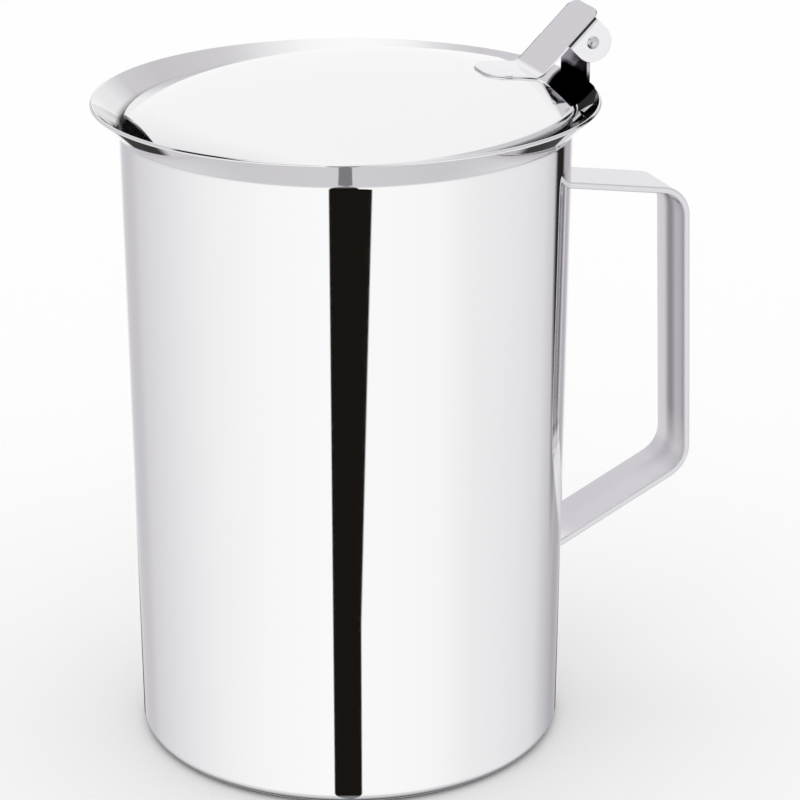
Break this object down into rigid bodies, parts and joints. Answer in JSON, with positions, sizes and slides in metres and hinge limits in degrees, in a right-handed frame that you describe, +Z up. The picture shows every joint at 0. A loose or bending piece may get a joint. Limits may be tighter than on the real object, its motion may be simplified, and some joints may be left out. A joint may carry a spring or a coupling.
{
  "type": "lidded jug",
  "caption": "Tall round steel jug with a flared rim, a bent strap handle and a shallow domed lid that swings up on a thumb-lever hinge.",
  "frame": {"origin": "Centre of the flat base, on the jug's axis, at the height of the surface that it stands on.", "axes": "+Z up along the jug's axis, +X towards the handle and the hinge, -X towards the pouring side, +Y across the handle."},
  "size_m": [0.1672, 0.1352, 0.1995],
  "materials": {
    "polished_steel": "mirror-polished stainless steel sheet",
    "lid_steel": "polished stainless steel sheet",
    "strap_steel": "fine satin stainless steel strip",
    "weld_steel": "dressed weld metal",
    "pin_steel": "drawn stainless steel wire with peened ends"
  },
  "bodies": {
    "jug": {"jug_body": "polished_steel", "handle": "strap_steel", "handle_top_weld": "weld_steel", "handle_lower_weld": "weld_steel", "hinge_bracket": "strap_steel", "bracket_weld": "weld_steel"},
    "lid": {"lid_dome": "lid_steel", "thumb_lever": "strap_steel", "lever_spot_weld_1": "weld_steel", "lever_spot_weld_2": "weld_steel", "hinge_pin": "pin_steel"}
  },
  "joints": [
    {"name": "lid_hinge", "type": "hinge", "parent": "jug", "child": "lid", "pos_m": [0.0662, 0, 0.19123], "axis": [0, 1, 0], "range_deg": [0, 160]}
  ]
}
